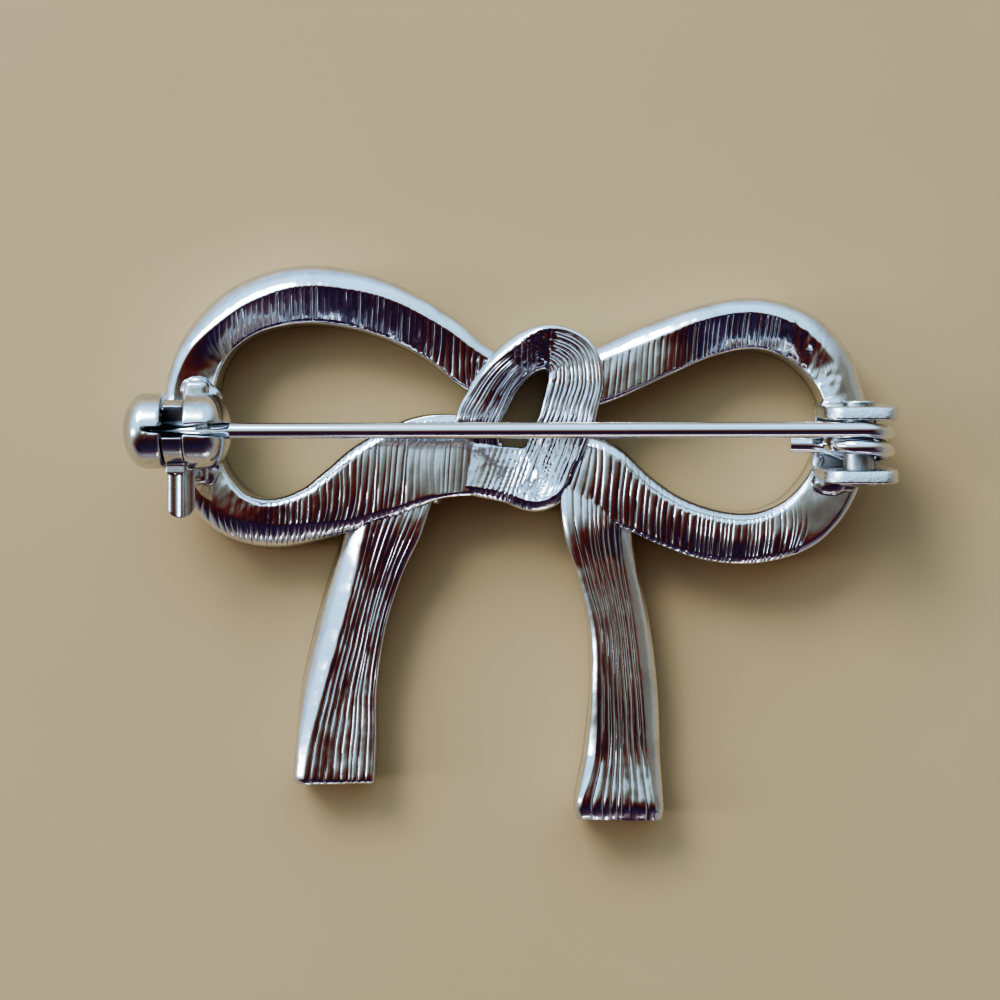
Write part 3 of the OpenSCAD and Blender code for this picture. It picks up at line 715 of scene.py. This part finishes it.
def grooved_ribbon(name, table, side, cast, grooves, row_step, seed, fine_rows=(), cut=None):
    """A ribbon with grooves along it, and with upright ribs where it has fine rows. One that
    crosses itself comes as two lengths."""
    ribbon = Ribbon(table, side, cast)
    places = row_places(ribbon, row_step, fine_rows)
    back, depths, ribs = groove_points(grooves, random.Random(seed))
    stretch, share = section_shares(back)
    depth, rib = np.zeros((2, len(stretch)))
    depth[stretch == BACK] = depths
    rib[stretch == BACK] = ribs
    s = np.repeat(places[:, None], len(stretch), axis=1)
    wander = 0.035 * noise_over(s * 0.35, share * 3, seed + 5) * np.sin(math.pi * share)
    shares = np.where(stretch == BACK, share + wander, share)
    grid = rounded_corners(ribbon.surface(s, stretch, shares), stretch)
    normals = outwards(grid, stretch)
    uneven = np.clip(0.75 + 1.1 * noise_over(s * 0.55, rib * 4.7, seed + 6), 0.05, 1.6)
    deep = rib_depth * 1.25 * ribbon.cast_at(s, RIBS) * depth * uneven
    if fine_rows:
        bowl = ribbon.row_at(s) > KNOT_CUT
        in_bowl = upright_ribs(grid, bowl_lean, seed + 7)
        in_arch = upright_ribs(grid, 0, seed + 8)
        reach = np.isin(stretch, [BACK, BAND_B]) | ((stretch == BAND_A) & (share > 0.3) & bowl)
        upright = np.where(bowl, in_bowl, in_arch) * reach
        deep = deep + rib_depth * ribbon.cast_at(s, SIDE_RIBS) * upright
    lengths = [slice(0, None)]
    if cut is not None:
        row = int(np.searchsorted(ribbon.row_at(places), cut))
        lengths = [slice(0, row + 2), slice(row, None)]
    return [
        finished_casting(f"{name}_{k}", ribbon, s[part], stretch, share, grid[part],
                         normals[part], deep[part], seed)
        for k, part in enumerate(lengths)
    ]


def lump(name, x, y, r, low, high):
    """A round lump with a sloping shoulder."""
    middle = (low + high) / 2
    profile = [(low, r), (middle, r), (middle + (high - low) * 0.35, 0.85 * r), (high, 0.5 * r)]
    return lathe(name, profile, (x, y, 0), (0, 0, 1), sides=24)


def bow_casting():
    """The loops, the tails, the knot and the fillets in their crooks, as one solid."""
    loops = [
        ribbed_loop("left_loop", LEFT_LOOP, -1, LEFT_LOOP_CAST, 3),
        ribbed_loop("right_loop", RIGHT_LOOP, 1, RIGHT_LOOP_CAST, 4),
    ]
    parts = grooved_ribbon("left_tail", LEFT_TAIL, -1, LEFT_TAIL_CAST, 10, tail_step, 5)
    parts += grooved_ribbon("right_tail", RIGHT_TAIL, -1, RIGHT_TAIL_CAST, 9, tail_step, 6)
    parts += grooved_ribbon("knot", KNOT, 1, KNOT_CAST, 11, knot_step, 7, KNOT_FINE, KNOT_CUT)
    for k, (x, y, r, top) in enumerate(CROOKS):
        parts.append(lump(f"crook_{k}", *bow_at(x, y), r * ribbon_w, edge_h / 2, top * cast_t))
    casting = combine(loops[0], loops[1:] + parts, "UNION")
    casting.name = "bow_casting"
    return casting


def blob(name, lumps, place, seed):
    """Solder: rounded lumps that run together, with an uneven skin."""
    shape = bmesh.new()
    bmesh.ops.create_icosphere(shape, subdivisions=3, radius=1)
    ball = np.array([v.co for v in shape.verts])
    faces = [[v.index for v in f.verts] for f in shape.faces]
    shape.free()
    lumps = np.array(lumps)
    middles, sizes = np.array(place) + lumps[:, :3], lumps[:, 3:]
    balls = [mesh_object(f"{name}_{k}", ball * size + middle, faces)
             for k, (middle, size) in enumerate(zip(middles, sizes))]
    made = soften(combine(balls[0], balls[1:], "UNION"), 0.07, 16)
    corners = np.array([v.co for v in made.data.vertices]) / MM
    normals = np.array([v.normal for v in made.data.vertices])
    height = 0.05 * noise_at(corners, 1.7, seed) + 0.02 * noise_at(corners, 5, seed)
    corners += normals * height[:, None]
    made.data.vertices.foreach_set("co", (corners * MM).ravel())
    made.name = name
    return made


def ear(name, side):
    """One ear of the hinge, leaning; side is 1 for the ear towards the loops' tops. Its top face
    slopes, and is higher towards the tails."""
    corner, top_slope, slope_run = ear_l / 4, 0.28, 0.5
    low = foot_z - hinge_z
    outline = [(ear_l / 2, low)]
    for x, start in ((1, 0), (-1, 90)):
        outline += [(x * (ear_l / 2 - corner) + corner * math.cos(a),
                     ear_top - corner + corner * math.sin(a))
                    for a in np.radians(np.linspace(start, start + 90, 9))]
    outline.append((-ear_l / 2, low))
    made = bevelled(prism(name, outline, 0, ear_t, axis=1), 0.16, 4)
    for point in made.data.vertices:
        sloping = min(max(point.co.z / MM / slope_run, 0), 1) * top_slope
        point.co.z += sloping * (ear_t / 2 * MM - point.co.y)
    shift = Vector((0, 0 if side > 0 else -ear_t, -side * coil_r)) * MM
    turn = Matrix.Rotation(math.radians(ear_lean), 4, "X")
    place = Vector((hinge_x, hinge_y + side * ear_gap / 2, hinge_z + side * coil_r)) * MM
    made.data.transform(Matrix.Translation(place) @ turn @ Matrix.Translation(shift))
    return made


def hinge_bracket():
    """The two ears on their foot, with the hole for the rivet."""
    foot_w = ear_gap + 2 * ear_t
    foot = block("foot", (hinge_x - ear_l / 2, hinge_y - foot_w / 2, foot_z),
                 (hinge_x + 0.35 * ear_l, hinge_y + foot_w / 2, foot_top))
    bevelled(foot, 0.1, 3)
    made = combine(foot, [ear("ear_up", 1), ear("ear_down", -1)], "UNION")
    hole_r = rivet_d / 2 + turn_gap
    hole = lathe("hole", [(-foot_w, hole_r), (foot_w, hole_r)],
                 (hinge_x, hinge_y, hinge_z), (0, 1, 0), 64)
    combine(made, [hole], "DIFFERENCE")
    made.name = "hinge_bracket"
    return made


def hinge_rivet():
    """The rivet, with a low head on each ear."""
    lean = math.tan(math.radians(ear_lean))
    face = ear_gap / 2 + coil_r * lean + ear_t / math.cos(math.radians(ear_lean))
    reach = face + rivet_head_d / 2 * lean + turn_gap
    shank, head = rivet_d / 2, rivet_head_d / 2
    half = [(reach, shank), (reach, head), (reach + 0.05, head - 0.02),
            (reach + rivet_head_t * 0.7, shank * 0.9), (reach + rivet_head_t, shank * 0.5)]
    profile = [(-x, r) for x, r in reversed(half)] + half
    return lathe("rivet", profile, (hinge_x, hinge_y, hinge_z), (0, 1, 0), 64)


def stem_line():
    """The stem's tilt, its length from the coil's top to its point and where the coil starts."""
    reach = math.hypot(hinge_x - catch_x, hinge_z - catch_z)
    tilt = math.atan2(hinge_z - catch_z, hinge_x - catch_x) + math.asin(coil_r / reach)
    length = math.sqrt(reach**2 - coil_r**2) + point_reach
    top = np.array([hinge_x - coil_r * math.sin(tilt), pin_y, hinge_z + coil_r * math.cos(tilt)])
    return tilt, length, top


def sweep(name, path, radii, sides=28):
    """A wire along a path, with a radius for each point."""
    ways = unit(np.gradient(path, axis=0))
    out = unit(np.cross([0, 1, 0], ways[0]))
    rings = []
    for point, way, radius in zip(path, ways, radii):
        out = unit(out - way * np.dot(out, way))
        rings.append(point + radius * circle(way, out, sides))
    return skin(name, np.stack(rings))


def pin_wire():
    """The pin: its ground point, its stem, the coil round the rivet and the cut-off leg."""
    tilt, length, top = stem_line()
    way = np.array([-math.cos(tilt), 0, -math.sin(tilt)])
    full = wire_d / 2
    along = np.concatenate([
        np.linspace(length, length - point_l, 40, endpoint=False),
        np.linspace(length - point_l, 0, 90, endpoint=False),
    ])
    stem = top + along[:, None] * way
    ground = np.clip((length - along) / point_l, 0, 1)
    radii = point_d / 2 + (full - point_d / 2) * np.sin(ground * math.pi / 2) ** 1.2
    radii[0] *= 0.5
    share = np.linspace(0, 1, 150)
    angle = math.pi / 2 + tilt - (2 * math.pi * coil_turns + tilt) * share
    coil = np.stack([hinge_x + coil_r * np.cos(angle), pin_y - coil_step * coil_turns * share,
                     hinge_z + coil_r * np.sin(angle)], axis=-1)
    end = coil[-1]
    leg = np.array([end, [hinge_x - leg_l / 2, pin_y - 1.15 * leg_side, end[2]],
                    [hinge_x - leg_l, pin_y - leg_side, end[2]]])
    leg = spline(leg, np.linspace(0, 2, 24)[1:])
    path = np.concatenate([stem, coil, leg])
    radii = np.concatenate([radii, np.full(len(coil) + len(leg), full - 0.01)])
    return sweep("pin_wire", path, radii)


def catch_prism(name, outline, start, end, axis=0):
    """A prism that is placed from the middle of the catch's groove, on the rotor's axis."""
    middle = np.array([catch_x, pin_y, catch_z])
    outline = np.array(outline, dtype=float) + np.delete(middle, axis)
    return prism(name, outline, middle[axis] + start, middle[axis] + end, axis)


def round_outline(d, start=0, end=360):
    """A circle, or the slice of it from one angle to another."""
    full = end - start >= 360
    angles = np.radians(np.linspace(start, end, 64, endpoint=not full))
    points = [(d / 2 * math.cos(a), d / 2 * math.sin(a)) for a in angles]
    return points if full else [(0.0, 0.0)] + points


def point_r(x):
    """The pin's radius in the catch, at x from the middle of the groove."""
    return (point_d + (wire_d - point_d) * min((x + point_reach) / point_l, 1)) / 2


def half_barrel(name, reach, side):
    """One domed half of the barrel, from the groove's edge; side is 1 for the one at the pin."""
    lip = 0.12
    start = catch_groove / 2
    r = barrel_d / 2
    profile = [(start, 0.05), (start, r - lip)]
    profile += [(start + lip * (1 - math.cos(a)), r - lip + lip * math.sin(a))
                for a in np.radians(np.linspace(15, 90, 6))]
    profile += [(reach - dome_l + dome_l * math.sin(a), r * math.cos(a))
                for a in np.radians(np.linspace(0, 88, 20))]
    return lathe(name, profile, (catch_x, pin_y, catch_z), (side, 0, 0))


def catch_barrel():
    """The barrel's halves, web and foot, with the rotor's bore, the pin's hole and the slot in the
    domes that the pin drops in by."""
    made = half_barrel("catch_barrel", barrel_out, -1)
    web = catch_prism("web", round_outline(barrel_d, 200, 290), -catch_groove, catch_groove)
    foot_x, foot_y, foot_z_top = 0.35 * barrel_d, 0.7 * barrel_d, -0.35 * barrel_d
    foot = block("foot", (catch_x + side_gap, pin_y - foot_y, catch_z - catch_h - catch_sink),
                 (catch_x + side_gap + foot_x, pin_y + foot_y, catch_z + foot_z_top))
    bevelled(foot, 0.4, 5)
    room = catch_prism("room", round_outline(collar_d + 2 * side_gap), -catch_groove, catch_groove / 2)
    combine(foot, [room], "DIFFERENCE")
    combine(made, [half_barrel("inner", barrel_in, 1), web, foot], "UNION")
    bore = catch_prism("bore", round_outline(rotor_d + 2 * turn_gap), -bore_out, bore_in)
    hole_r = wire_d / 2 + side_gap
    hole = lathe("hole", [(0, hole_r), (barrel_in + 1, hole_r)],
                 (catch_x, pin_y, catch_z), (1, 0, 0), 64)
    ends = -point_reach - side_gap, barrel_in + 1
    half_slot = [(x, point_r(x) + side_gap / 2) for x in ends]
    slot = half_slot + [(x, -y) for x, y in reversed(half_slot)]
    way_in = catch_prism("way_in", slot, 0, barrel_d, axis=2)
    combine(made, [bore, hole, way_in], "DIFFERENCE")
    soften(made, 0.062, 5)
    made.name = "catch_barrel"
    return made


def catch_lever():
    """The rotor inside the barrel, its collar in the groove and the lever that turns it."""
    collar = catch_groove / 2 - side_gap
    root = barrel_d / 2 + 2 * side_gap
    made = catch_prism("catch_lever", round_outline(rotor_d), side_gap - bore_out, bore_in - side_gap)
    wings = catch_prism("wings", round_outline(collar_d, 26, 194), -collar, collar)
    arm = block("arm", (catch_x - collar, pin_y - root - overlap, catch_z - lever_t / 2),
                (catch_x + collar, pin_y - rotor_hole_d / 2 - overlap, catch_z + lever_t / 2))
    r = lever_w / 2
    straight = [(-r, overlap - root), (-r, r - lever_l)]
    tip = [(-r * math.cos(a), r - lever_l - r * math.sin(a))
           for a in np.radians(np.linspace(12, 168, 14))]
    tab = straight + tip + [(-x, y) for x, y in reversed(straight)]
    tab = [(lever_side + x, y) for x, y in tab]
    lever = catch_prism("lever", tab, -lever_t / 2, lever_t / 2, axis=2)
    folded = catch_prism("folded", LEVER_FOLD, 2 * overlap - root - lever_l, 2 * overlap - root, axis=1)
    combine(lever, [folded], "INTERSECT")
    combine(made, [wings, arm, lever], "UNION")
    bore = catch_prism("bore", round_outline(rotor_hole_d), -barrel_d, barrel_d)
    slot = point_r(bore_in) + side_gap
    flare = math.radians(48)
    far = barrel_d * math.cos(flare), barrel_d * math.sin(flare)
    gap = catch_prism("gap", [(-slot, 0), (slot, 0), (slot, slot), far, (-slot, barrel_d)],
                      -barrel_d, barrel_d)
    combine(made, [bore, gap], "DIFFERENCE")
    soften(made, 0.05, 3)
    made.name = "catch_lever"
    return made


class Value:
    """A number that varies over a surface. Python's operators add its Math nodes."""

    def __init__(self, nodes, socket):
        self.nodes, self.socket = nodes, socket

    def math(self, operation, *terms):
        return self.nodes.add("ShaderNodeMath", {"operation": operation}, dict(enumerate(terms)))

    def __add__(self, other):
        return self.math("ADD", self, other)

    def __radd__(self, other):
        return self.math("ADD", other, self)

    def __sub__(self, other):
        return self.math("SUBTRACT", self, other)

    def __rsub__(self, other):
        return self.math("SUBTRACT", other, self)

    def __mul__(self, other):
        return self.math("MULTIPLY", self, other)

    def __rmul__(self, other):
        return self.math("MULTIPLY", other, self)


class Nodes:
    """A node tree, with one method that adds a node."""

    def __init__(self, tree):
        self.tree = tree
        tree.nodes.clear()

    def add(self, kind, settings=None, inputs=None, out=0):
        """Adds a node: its settings first, then the values or links of its sockets."""
        made = self.tree.nodes.new(kind)
        for name, value in (settings or {}).items():
            if name == "stops":
                steps = made.color_ramp.elements
                steps[0].color, steps[1].color = value[0][1], value[-1][1]
                for place, colour in value[1:-1]:
                    steps.new(place).color = colour
            else:
                setattr(made, name, value)
        for name, value in (inputs or {}).items():
            if isinstance(value, Value):
                self.tree.links.new(value.socket, made.inputs[name])
            else:
                made.inputs[name].default_value = value
        return Value(self, made.outputs[out]) if made.outputs else made

    def millimetres(self):
        """The surface's own place, in millimetres."""
        place = self.add("ShaderNodeTexCoord", out=3)
        return self.add("ShaderNodeVectorMath", {"operation": "SCALE"}, {0: place, "Scale": 1 / MM})

    def stretched(self, place, scale):
        return self.add("ShaderNodeVectorMath", {"operation": "MULTIPLY"}, {0: place, 1: scale})

    def noise(self, place, scale, detail=2.0, rough=0.5):
        return self.add("ShaderNodeTexNoise", None, {
            "Vector": place, "Scale": scale, "Detail": detail, "Roughness": rough})

    def step(self, value, low, high):
        """0 below low, 1 above high and smooth between."""
        return self.add("ShaderNodeMapRange", {"interpolation_type": "SMOOTHSTEP"}, {
            "Value": value, "From Min": low, "From Max": high})

    def blend(self, share, first, second):
        return self.add("ShaderNodeMix", {"data_type": "RGBA"}, {0: share, 6: first, 7: second}, out=2)


def plating(name, tint, dark, shine, grain, brushed=(1, 1, 1), tarnish=0.0):
    """Silver-tone plating: tint on the high places; dark: the colour of painted shade in the low ones,
    partly also tarnish there, and of the tarnish stains; shine: its roughness; grain: depth of the
    fine texture in micrometres; brushed: how the texture is drawn out."""
    finish = bpy.data.materials.new(name)
    finish.use_nodes = True
    nodes = Nodes(finish.node_tree)
    place = nodes.millimetres()
    cloud = nodes.noise(place, 0.55, 3, 0.6)
    fleck = nodes.noise(place, 3.2, 4, 0.65)
    drawn = nodes.noise(nodes.stretched(place, brushed), 7.0, 3, 0.6)
    # Pointiness picks out the hollows: low is 1 in grooves and creases, and there the colour turns dark
    # as painted shade, partly also as tarnish in the hollows.
    fold = nodes.add("ShaderNodeNewGeometry", out=7)
    low = 1 - nodes.step(fold, 0.40, 0.52)
    stain = nodes.step(cloud + 0.4 * fleck, 0.62, 0.95) * tarnish
    # Share of the dark colour: painted shade in the hollows, partly tarnish there, plus the tarnish
    # stains.
    hollow_shade_and_tarnish = low * 0.85 + stain
    colour = nodes.blend(hollow_shade_and_tarnish, (*tint, 1), (*dark, 1))
    rough = shine + 0.10 * cloud + 0.10 * low + 0.12 * nodes.step(fleck, 0.55, 0.75)
    height = 0.6 * drawn + 0.4 * fleck
    bump = nodes.add("ShaderNodeBump", None, {
        "Strength": 1.0, "Distance": grain * MM * MM, "Height": height})
    surface = nodes.add("ShaderNodeBsdfPrincipled", None, {
        "Base Color": colour, "Metallic": 1.0, "Roughness": rough, "Normal": bump})
    nodes.add("ShaderNodeOutputMaterial", None, {"Surface": surface})
    return finish


def plain_floor():
    """A square of pale paper, one metre wide."""
    half = 500
    corners = [(-half, -half, 0), (half, -half, 0), (half, half, 0), (-half, half, 0)]
    floor = mesh_object("floor", corners, [[0, 1, 2, 3]])
    paper = bpy.data.materials.new("pale_paper")
    paper.use_nodes = True
    nodes = Nodes(paper.node_tree)
    cloud = nodes.noise(nodes.millimetres(), 0.05, 2)
    colour = nodes.blend(cloud, (0.60, 0.40, 0.20, 1), (0.64, 0.44, 0.23, 1))
    surface = nodes.add("ShaderNodeBsdfPrincipled", None, {"Base Color": colour, "Roughness": 0.7})
    nodes.add("ShaderNodeOutputMaterial", None, {"Surface": surface})
    floor.data.materials.append(paper)


def studio():
    """A room that is bright on the window's side, up and left of the brooch, and dark opposite,
    with a grey far wall and a grey band round its foot. The camera itself sees plain grey."""
    world = bpy.data.worlds.new("room")
    bpy.context.scene.world = world
    world.use_nodes = True
    nodes = Nodes(world.node_tree)
    way = nodes.add("ShaderNodeTexCoord", out=0)
    east = nodes.add("ShaderNodeSeparateXYZ", None, {0: way}, out=0)
    north = nodes.add("ShaderNodeSeparateXYZ", None, {0: way}, out=1)
    side = 0.5 + 0.45 * north - 0.18 * east
    room = nodes.add("ShaderNodeValToRGB", {"stops": ROOM}, {0: side})
    far_wall = nodes.step(east, 0.55, 0.92) * nodes.step(north, -0.65, -0.40) * 0.85
    room = nodes.blend(far_wall, room, (0.100, 0.103, 0.088, 1))
    up = nodes.add("ShaderNodeSeparateXYZ", None, {0: way}, out=2)
    skirting = (1 - nodes.step(up, 0.10, 0.34)) * 0.6
    room = nodes.blend(skirting, room, (0.16, 0.17, 0.19, 1))
    seen = nodes.add("ShaderNodeLightPath", out=0)
    colour = nodes.blend(seen, room, (0.33, 0.33, 0.32, 1))
    light = nodes.add("ShaderNodeBackground", None, {"Color": colour, "Strength": 2.3})
    nodes.add("ShaderNodeOutputWorld", None, {"Surface": light})
    soft_box("window", (-0.42, 0.62, 0.62), 0.55, (0.26, 0.20), 1.6, (0.85, 0.93, 1.0))
    soft_box("left_box", (-0.95, -0.05, 0.45), 0.60, (0.10, 0.30), 0.5, (0.92, 0.96, 1.0))
    soft_box("near_box", (0.10, -0.97, 0.22), 0.60, (0.30, 0.05), 0.15, (0.95, 0.97, 1.0))


def soft_box(name, way, distance, size, power, colour):
    """A soft light that faces the brooch. Distance and size are in metres, power in watts."""
    light = bpy.data.lights.new(name, "AREA")
    light.shape = "RECTANGLE"
    light.size, light.size_y = size
    light.energy = power
    light.color = colour
    box = bpy.data.objects.new(name, light)
    way = Vector(way).normalized()
    box.location = way * distance
    box.rotation_mode = "QUATERNION"
    box.rotation_quaternion = way.to_track_quat("Z", "Y")
    bpy.context.scene.collection.objects.link(box)


def camera():
    """Straight above the brooch, with the photograph's framing."""
    lens = bpy.data.cameras.new("camera")
    lens.sensor_width = 36
    lens.lens = 66.5
    lens.clip_start = 0.005
    made = bpy.data.objects.new("camera", lens)
    made.location = Vector((-0.61, 2.58, 110)) * MM
    bpy.context.scene.collection.objects.link(made)
    bpy.context.scene.camera = made


def dress(thing, finish, body, node, sharp=55):
    """Gives a piece its finish and its place on a body, and hides the CAD solid that it stands for."""
    thing.data.materials.clear()
    thing.data.materials.append(finish)
    thing.data.shade_smooth()
    thing.data.set_sharp_from_angle(angle=math.radians(sharp))
    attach(thing, body)
    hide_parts(node)


def flat_ends(casting):
    """Shades the end faces of the tails flat, with a crisp edge round them."""
    lowest = -0.8 * bow_h / 2 * MM
    for face in casting.data.polygons:
        if face.normal.y < -0.99 and face.center.y < lowest:
            face.use_smooth = False


camera()
bpy.context.scene.view_settings.look = "AgX - High Contrast"
# The second colour of each finish is painted shade in its hollows, partly tarnish there, and the colour
# of its tarnish stains.
cast_finish = plating("cast_plating", (0.80, 0.81, 0.84), (0.16, 0.15, 0.17),
                      shine=0.08, grain=4.0, brushed=(1.0, 0.25, 1.0), tarnish=0.2)
solder_finish = plating("solder_plating", (0.72, 0.72, 0.74), (0.26, 0.22, 0.22),
                        shine=0.14, grain=7.0, tarnish=0.5)
bracket_finish = plating("bracket_plating", (0.78, 0.80, 0.82), (0.30, 0.29, 0.29),
                         shine=0.22, grain=40.0, tarnish=0.3)
barrel_finish = plating("barrel_plating", (0.76, 0.77, 0.79), (0.30, 0.29, 0.29),
                        shine=0.12, grain=4.0, tarnish=0.5)
wire_finish = plating("wire_plating", (0.82, 0.82, 0.84), (0.45, 0.44, 0.45),
                      shine=0.08, grain=1.5, brushed=(0.1, 1.0, 1.0))

casting = bow_casting()
dress(casting, cast_finish, "frame", "bow_frame", sharp=70)
flat_ends(casting)
dress(hinge_bracket(), bracket_finish, "frame", "bow_frame", sharp=35)
dress(catch_barrel(), barrel_finish, "frame", "bow_frame")
hinge_solder = blob("hinge_solder", HINGE_SOLDER, (hinge_x, hinge_y, cast_t), 8)
catch_solder = blob("catch_solder", CATCH_SOLDER, (catch_x, pin_y, cast_t), 9)
for lumps in (hinge_solder, catch_solder):
    dress(lumps, solder_finish, "frame", "bow_frame")
dress(hinge_rivet(), bracket_finish, "frame", "hinge_rivet")
dress(pin_wire(), wire_finish, "pin", "pin_stem")
dress(catch_lever(), barrel_finish, "rotor", "catch_rotor")

plain_floor()
studio()
